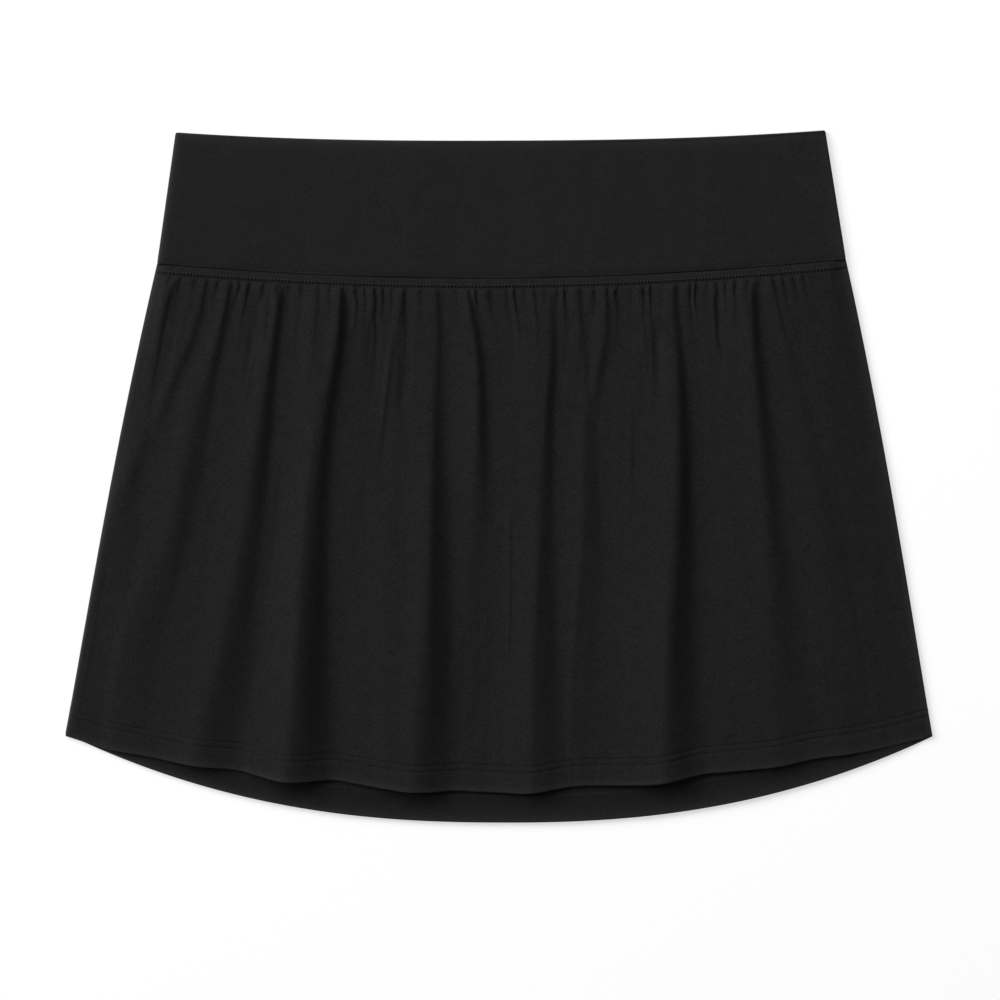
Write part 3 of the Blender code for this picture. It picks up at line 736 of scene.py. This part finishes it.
# %% Front panel
seam_x, rise, fade, across = columns
length = front_length(seam_x)
near = np.array(NEAR_ROWS)[:, None] * MM + 0 * length
hem_rows = length - np.array(HEM_ROWS)[:, None] * MM
steps = np.linspace(0, 1, MIDDLE_ROWS + 2)[1:-1, None]
middle = near[-1] + (hem_rows[0] - near[-1]) * steps
turns = np.radians(ROLL_ROWS)[:, None]
edge = length - HEM_ROLL * (1 - np.sin(turns))
distance = np.concatenate((near, middle, hem_rows, edge))
shape = distance.shape
spread = [np.broadcast_to(part, shape) for part in (seam_x, rise, fade, across)]
places = front_form(*spread, distance, np.broadcast_to(length, shape))
places[-len(turns):, :, 2] = places[-len(turns), :, 2] - HEM_ROLL * (1 - np.cos(turns))
flat = np.stack((seam_x / HIP_HALF * between(FRONT_FLAT, distance / length) / 2, distance),
                axis=-1)
share = distance / length
side_inwards = skirt_half(share) - np.abs(places[..., 0] - skirt_middle(share))
# Painted highlight along the side edges and, weaker, the hem; weaker again on the right, away from the
# light.
rim = np.maximum(rim_highlight(side_inwards), HEM_RIM * rim_highlight(length - distance))
rim = rim * smooth(distance, 0.0, RIM_FROM) * between((1.0, SHADY), seam_x / HIP_HALF / 2 + 0.5)
front = sheet("skirt_front_cloth", places, flat, JERSEY_WALL, rim)
dress(front, "skirt_front", skirt_jersey)
for row, words in ((ROW_UNDER_SEAM, "under the seam"), (ROW_AT_HEM, "at the hem")):
    run = np.linalg.norm(np.diff(places[row], axis=0), axis=1).sum()
    print("cloth across", words + ", mm:", round(run / MM))

# %% [markdown]
# ## Back of the skirt
#
# The back is the same flared panel, cut longer at its middle. It lies face down, so its inside
# shows below the front hem, with the turned-up hem, whose edge curls up a little. It is given a
# darker copy of the jersey, painted shade for the strip in the shade of the front hem. The weight
# of the front presses the rest flat, and only shallow gathers are left on its underside.

# %% Back panel
BACK_COLUMNS, BACK_ROWS = 331, 46
BACK_FLAT = (470.0 * MM, 500.0 * MM)  # the cut's width at its top, before gathering, and hem
BACK_WALL = 0.75 * MM
BACK_LIFT = 0.4 * MM  # the most that gathers and unevenness lift it
PLEAT, PLEAT_SWAY = 5.8 * MM, 31.0 * MM  # width of its gathers, and how slowly that changes
PLEAT_SWAYS, PLEAT_FADES = 2, 6  # how much it changes, and how soon the gathers fade
BACK_HEM, BACK_HEM_THICK = (14.8 * MM, 15.6 * MM), 0.55 * MM  # its turned-up hem ends between these
BACK_HEM_ROWS = (17, 15.6, 15.2, 14.8, 14, 12.5, 10, 7, 4, 2, 1.1, 0.6, 0.25, 0)
BACK_EDGE, BACK_EDGE_DROP = 1.0 * MM, 0.5  # the edge's rounding, and the share of it that shows
CURL, CURL_WIDE = 2.0 * MM, 9.0 * MM  # the hem's edge curls up this much, over this width
CURL_POWER = 6  # and not at the corners
PUFF, PUFF_STRIP = 1.5 * MM, 9.0 * MM  # it rises this much to the front hem, less in a thin strip
FOLLOW = 0.5  # and under the front's folds by this share of their height as well
FOLLOW_UP = 32.0 * MM  # and is flat again this far above the front hem
FALLS = 2.0  # over 1, it falls away from the front hem sooner
BACK_RIM_FROM = 0.01  # the painted rim highlight starts within this share of the length

side = np.linspace(-1, 1, BACK_COLUMNS)[None, :]
back_top = waist_seam(LEAN_SEAM + side * HIP_HALF) - SEAM_GAP
back_bottom = hem(side * HEM_HALF, BACK_HEM_MIDDLE, BACK_HEM_CURVE)
back_length = back_top - back_bottom
upper = np.linspace(0, 1, BACK_ROWS)[:-1, None] * (back_length - BACK_HEM_ROWS[0] * MM)
from_hem = np.array(BACK_HEM_ROWS)[:, None] * MM
back_distance = np.concatenate((upper, back_length - from_hem))
share = back_distance / back_length
back_x = skirt_middle(share) + side * skirt_half(share)
back_y = back_top - back_distance
from_hem = back_length - back_distance
thread_x = side * HIP_HALF
sway = PLEAT_SWAYS * np.sin(thread_x / PLEAT_SWAY)
pleat = np.abs(np.sin(thread_x / PLEAT * math.pi + sway))
lifted = BACK_LIFT * pleat * np.exp(-share * PLEAT_FADES)
lifted = lifted + np.abs(ripple(back_x, back_y, BACK_SEED))
second = BACK_HEM_THICK * (1 - smooth(from_hem, *BACK_HEM))
rolled = BACK_EDGE * (1 - np.sqrt(1 - np.clip(1 - from_hem / BACK_EDGE, 0, 1) ** 2))
back_z = BACK_WALL + np.minimum(lifted, BACK_LIFT) + second - BACK_EDGE_DROP * rolled
back_z += CURL * (1 - smooth(from_hem, 0.0, CURL_WIDE)) * (1 - np.abs(side) ** CURL_POWER)
below_front = front_hem(back_x) - back_y
strip = np.maximum(front_hem(back_x) - back_bottom, MM)
follows = np.clip(1 - below_front / strip, 0.0, 1.0) ** FALLS
follows = follows * smooth(below_front, -FOLLOW_UP, 0.0)
back_z += FOLLOW * fold_height(back_x, np.ones_like(back_x)) * follows
back_z += PUFF * follows * smooth(strip, 0.0, PUFF_STRIP)
side_inwards = skirt_half(share) * (1 - np.abs(side))
# Painted highlight along the back's side edges and hem, weaker on the right, away from the light.
back_rim = np.maximum(rim_highlight(side_inwards), HEM_RIM * rim_highlight(from_hem))
back_rim = back_rim * smooth(share, 0.0, BACK_RIM_FROM) * between((1.0, SHADY), side / 2 + 0.5)
back_flat = np.stack((side * between(BACK_FLAT, share) / 2, back_distance), axis=-1)
back = sheet("skirt_back_cloth", np.stack((back_x, back_y, back_z), axis=-1), back_flat,
             BACK_WALL, back_rim)
dress(back, "skirt_back", painted_shade_jersey)

# %% [markdown]
# ## Waistband
#
# A band of stretch jersey is folded in half along its top edge, so it is two layers thick with
# no stitching on its face. Laid flat, it folds round at the sides too. Each half is a loop, the
# section of the doubled cloth, swept from one side to the other, and the last columns turn down
# a quarter round to meet the other half. A loop has the round fold that a Solidify wall lacks.

# %% Waistband halves
BAND_WALL = 2.0 * MM
BAND_LEVELS = (4.5 * MM, 2.3 * MM)  # heights of the front half's face and of its middle plane
BAND_BACK_LEVELS = (0.0, 2.0 * MM)
BAND_RIPPLE = 1.3  # it is this much more uneven than the skirt
BAND_DIP, BAND_DIP_UP = 0.5 * MM, 4.0 * MM  # the face dips at the seam, over this height
BAND_TOP_DROP, BAND_TOP_ROLL = 0.7 * MM, 8.0 * MM  # and rolls down towards the top edge
LOW_TURN, TOP_TURN = 0.012, 0.985  # shares of the way up where the section turns over
BAND_LOW_ROWS = np.array((LOW_TURN, 0.018, 0.025, 0.034, 0.044))
BAND_ROWS = np.linspace(0.06, TOP_TURN, 34)
BAND_ACROSS, BAND_UP = 200, len(BAND_LOW_ROWS) + len(BAND_ROWS)
INSIDE_ROWS, OVER_STEPS, UNDER_STEPS, SIDE_STEPS = 12, 8, 6, 6
INSIDE_SHIFT = 60  # on the flat cloth, the inside lies this many times its depth further along
WELD = 0.01 * MM


def band_section():
    """The section of the doubled band as (share of the way up, distance in from the face)."""
    up = [(share, 0.0) for share in np.concatenate((BAND_LOW_ROWS, BAND_ROWS))]
    down_inside = [(share, 1.0) for share in np.linspace(TOP_TURN, LOW_TURN, INSIDE_ROWS)]
    over = [(TOP_TURN + (1 - TOP_TURN) * math.sin(turn), (1 - math.cos(turn)) / 2)
            for turn in np.linspace(0, math.pi, OVER_STEPS)[1:-1]]
    under = [(LOW_TURN - LOW_TURN * math.sin(turn), (1 + math.cos(turn)) / 2)
             for turn in np.linspace(0, math.pi, UNDER_STEPS)[1:-1]]
    return up + over + down_inside + under


def waistband(name, node, levels, seed):
    """Half the band, at these heights of its face and of its middle plane."""
    outer, inner = levels
    radius = abs(outer - inner)
    sign = 1 if outer > inner else -1
    section = band_section()
    turns = np.linspace(0, math.pi / 2, SIDE_STEPS)[1:]
    sides = [(-1, turn) for turn in reversed(turns)]
    sides += [(spot, 0.0) for spot in np.linspace(-1, 1, BAND_ACROSS)]
    sides += [(1, turn) for turn in turns]
    places = np.zeros((len(section) + 1, len(sides), 3))
    flat = np.zeros((len(section) + 1, len(sides), 2))
    for column, (spot, turn) in enumerate(sides):
        for row, (up, inward) in enumerate(section + section[:1]):
            depth = inward * BAND_WALL
            half = between((HIP_HALF, WAIST_HALF), up) - radius
            lean = between((LEAN_SEAM, LEAN_TOP), up)
            reach = radius - depth
            x = lean + spot * half + math.copysign(reach * math.sin(turn), spot)
            face = inner + sign * reach * math.cos(turn)
            y = between((waist_seam(x), waist_top(x)), up)
            places[row, column] = (x, y, face)
            flat[row, column] = (x, y + depth * INSIDE_SHIFT)
    faces = places[:BAND_UP]
    calm = np.cos([turn for _, turn in sides])[None, :]
    above_seam = faces[..., 1] - waist_seam(faces[..., 0])
    below_top = np.clip((waist_top(faces[..., 0]) - faces[..., 1]) / BAND_TOP_ROLL, 0.0, 1.0)
    settle = BAND_DIP * (1 - smooth(above_seam, 0.0, BAND_DIP_UP))
    settle = settle + BAND_TOP_DROP * (1 - below_top) ** 2
    waves = BAND_RIPPLE * ripple(faces[..., 0], faces[..., 1], seed)
    faces[..., 2] += sign * calm * (waves - settle)
    places[..., 2] = np.maximum(places[..., 2], 0.0)  # pressed flat on the table
    places[-1] = places[0]
    x, y = places[..., 0], places[..., 1]
    up = (y - waist_seam(x)) / (waist_top(x) - waist_seam(x))
    middle = between((LEAN_SEAM, LEAN_TOP), up)
    side_inwards = between((HIP_HALF, WAIST_HALF), up) - np.abs(x - middle)
    # Painted highlight along the band's sides and top edge, weaker on the right, away from the light.
    rim = np.maximum(rim_highlight(side_inwards), rim_highlight(waist_top(x) - y))
    rim = rim * between((1.0, SHADY), x / HIP_HALF / 2 + 0.5)
    piece = sheet(name, places, flat, None, rim)
    form = bmesh.new()
    form.from_mesh(piece.data)
    bmesh.ops.remove_doubles(form, verts=form.verts, dist=WELD)
    bmesh.ops.holes_fill(form, edges=form.edges, sides=0)
    bmesh.ops.recalc_face_normals(form, faces=form.faces)
    form.to_mesh(piece.data)
    form.free()
    dress(piece, node, band_jersey)
    return piece


band_front = waistband("waistband_front_cloth", "waistband_front", BAND_LEVELS, BAND_FRONT_SEED)
band_back = waistband("waistband_back_cloth", "waistband_back", BAND_BACK_LEVELS, BAND_BACK_SEED)

# %% [markdown]
# ## Shorts
#
# Each leg of the shorts is one piece wrapped from the centre front round the side to the
# centre back. They lie pressed between the two skirt panels, where nobody sees them, so a plain
# folded sheet is all that is needed.

# %% Shorts legs
SHORTS_TOP = 3.6 * MM
SHORTS_HALF, SHORTS_HALF_HEM = 178.0 * MM, 176.0 * MM
CROTCH, LEG_HEM, LEG_SPREAD = -82.0 * MM, -136.0 * MM, 12.0 * MM
LEG_WALL = 0.8 * MM
LEG_FACE, LEG_FOLD, LEG_ROWS = 46, 8, 60


def shorts_leg(name, node, side):
    """One leg: a sheet from the centre front round the side to the centre back."""
    radius = (SHORTS_TOP - SEAT) / 2
    places = np.zeros((LEG_ROWS, 2 * LEG_FACE + LEG_FOLD - 1, 3))
    flat = np.zeros(places.shape[:2] + (2,))
    for row in range(LEG_ROWS):
        share = row / (LEG_ROWS - 1)
        below = CROTCH - between((SEAM_MIDDLE, LEG_HEM), share)
        inner = SEAM_GAP / 2 + LEG_SPREAD * smooth(below, 0.0, CROTCH - LEG_HEM)
        turn = between((SHORTS_HALF, SHORTS_HALF_HEM), share) - radius
        for column in range(places.shape[1]):
            if column < LEG_FACE:
                x = between((inner, turn), column / (LEG_FACE - 1))
                z = SHORTS_TOP
                out = x
            elif column < LEG_FACE + LEG_FOLD - 1:
                angle = math.pi * (column - LEG_FACE + 1) / LEG_FOLD
                x = turn + radius * math.sin(angle)
                z = SEAT + radius + radius * math.cos(angle)
                out = turn + radius * angle
            else:
                x = between((turn, inner), (column - LEG_FACE - LEG_FOLD + 1) / (LEG_FACE - 1))
                z = SEAT
                out = 2 * turn - x + math.pi * radius
            top = waist_seam(side * x) - SEAM_GAP
            places[row, column] = (side * x, between((top, LEG_HEM), share), z)
            flat[row, column] = (side * out, -places[row, column, 1])
    leg = sheet(name, places, flat, LEG_WALL, np.zeros(flat.shape[:2]))
    if side < 0:
        leg.data.flip_normals()
    dress(leg, node, shorts_jersey)
    return leg


leg_left = shorts_leg("shorts_left_cloth", "shorts_left", -1)
leg_right = shorts_leg("shorts_right_cloth", "shorts_right", 1)

# %% [markdown]
# ## Stitches
#
# A row of sewing is many short lengths of thread that dip into the cloth between needle holes.
# One small bead, squashed and turned along the row, is repeated at the stitch length, and all
# of one kind are one joined mesh. The beads have few faces, because there are hundreds of them.

# %% A row of stitches
BEAD_SIDES, BEAD_RINGS = 6, 4
WAIST_PITCH, HEM_PITCH = 1.9 * MM, 2.2 * MM
COVER_UP, NEEDLE_UP = 1.3 * MM, 0.2 * MM  # how far above the allowance's end each row is sewn
NEEDLE_STANDS, HEM_SINKS = 0.3 * MM, 0.1 * MM
COVER_BEAD = (1.1 * MM, 0.7 * MM, 0.4 * MM)  # length, width and height
NEEDLE_BEAD = (1.0 * MM, 0.9 * MM, 0.4 * MM)
HEM_BEAD = (1.5 * MM, 0.5 * MM, 0.3 * MM)


def stitches(name, rows, bead, material):
    """One bead of (length, width, height) in the middle of each step along each row."""
    form = bmesh.new()
    for points in rows:
        for start, stop in zip(points, points[1:]):
            along = Vector(stop) - Vector(start)
            made = bmesh.ops.create_uvsphere(form, u_segments=BEAD_SIDES, v_segments=BEAD_RINGS,
                                             radius=0.5)
            turn = along.to_track_quat("Z", "Y").to_matrix()
            for vert in made["verts"]:
                local = Vector((vert.co.x * bead[1], vert.co.y * bead[2], vert.co.z * bead[0]))
                vert.co = (Vector(start) + Vector(stop)) / 2 + turn @ local
    piece = add_object(name, form)
    piece.data.materials.append(material)
    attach(piece, "root")
    print(name, "has", sum(len(points) - 1 for points in rows), "stitches")
    return piece


def even_points(places, pitch):
    """Points at an even pitch along a finely drawn line."""
    steps = np.linalg.norm(np.diff(places[:, :2], axis=0), axis=1)
    run = np.concatenate(([0.0], np.cumsum(steps)))
    marks = np.arange(0.0, run[-1], pitch)
    return np.stack([np.interp(marks, run, places[:, axis]) for axis in range(3)], axis=-1)


def along_front(distance, pitch, sink):
    """A row of points on the front panel, at a distance below the waist seam."""
    span = front_length(seam_x)
    places = front_form(seam_x, rise, fade, across, distance + 0 * span, span)
    places = places[len(ROLL_TURNS):-len(ROLL_TURNS)]
    points = even_points(places, pitch)
    points[:, 2] -= sink
    return points


# The cover row uses the light thread; the needle row and the hem rows use the thread with painted
# shade.
cover_row = along_front(ALLOWANCE - COVER_UP, WAIST_PITCH, 0.0)
waist_stitch = stitches("waist_cover_stitch", [cover_row], COVER_BEAD, thread)
needle_row = along_front(ALLOWANCE - NEEDLE_UP, WAIST_PITCH, -NEEDLE_STANDS)
waist_needle = stitches("waist_needle_stitch", [needle_row], NEEDLE_BEAD, shade_painted_thread)
sewn_rows = [along_front(length - up, HEM_PITCH, HEM_SINKS) for up in TWIN_ROWS]
hem_stitch = stitches("front_hem_stitches", sewn_rows, HEM_BEAD, shade_painted_thread)

# %% [markdown]

# %% [markdown]
# ## Table
#
# A frosted light table: most of its brightness comes from below, so it comes out pure white and
# the garment's own soft shadow only just shows on it.

# %% White table
TABLE_GLOW = 0.602
TABLE_WHITE = 0.33
TABLE_HALF, TABLE_CLEAR = 4.0, 0.1 * MM  # half its side, and how far it lies under the cloth
floor_form = bmesh.new()
bmesh.ops.create_grid(floor_form, x_segments=8, y_segments=8, size=TABLE_HALF)
bmesh.ops.translate(floor_form, verts=floor_form.verts, vec=(0.0, 0.0, -TABLE_CLEAR))
floor = add_object("white_table", floor_form)
frosted = bpy.data.materials.new("frosted_light_table")
frosted.use_nodes = True
table_shader = frosted.node_tree.nodes["Principled BSDF"]
table_shader.inputs["Base Color"].default_value = (TABLE_WHITE, TABLE_WHITE, TABLE_WHITE, 1.0)
table_shader.inputs["Roughness"].default_value = 1.0
table_shader.inputs["Specular IOR Level"].default_value = 0.0
table_shader.inputs["Emission Color"].default_value = (1.0, 1.0, 1.0, 1.0)
table_shader.inputs["Emission Strength"].default_value = TABLE_GLOW
floor.data.materials.append(frosted)
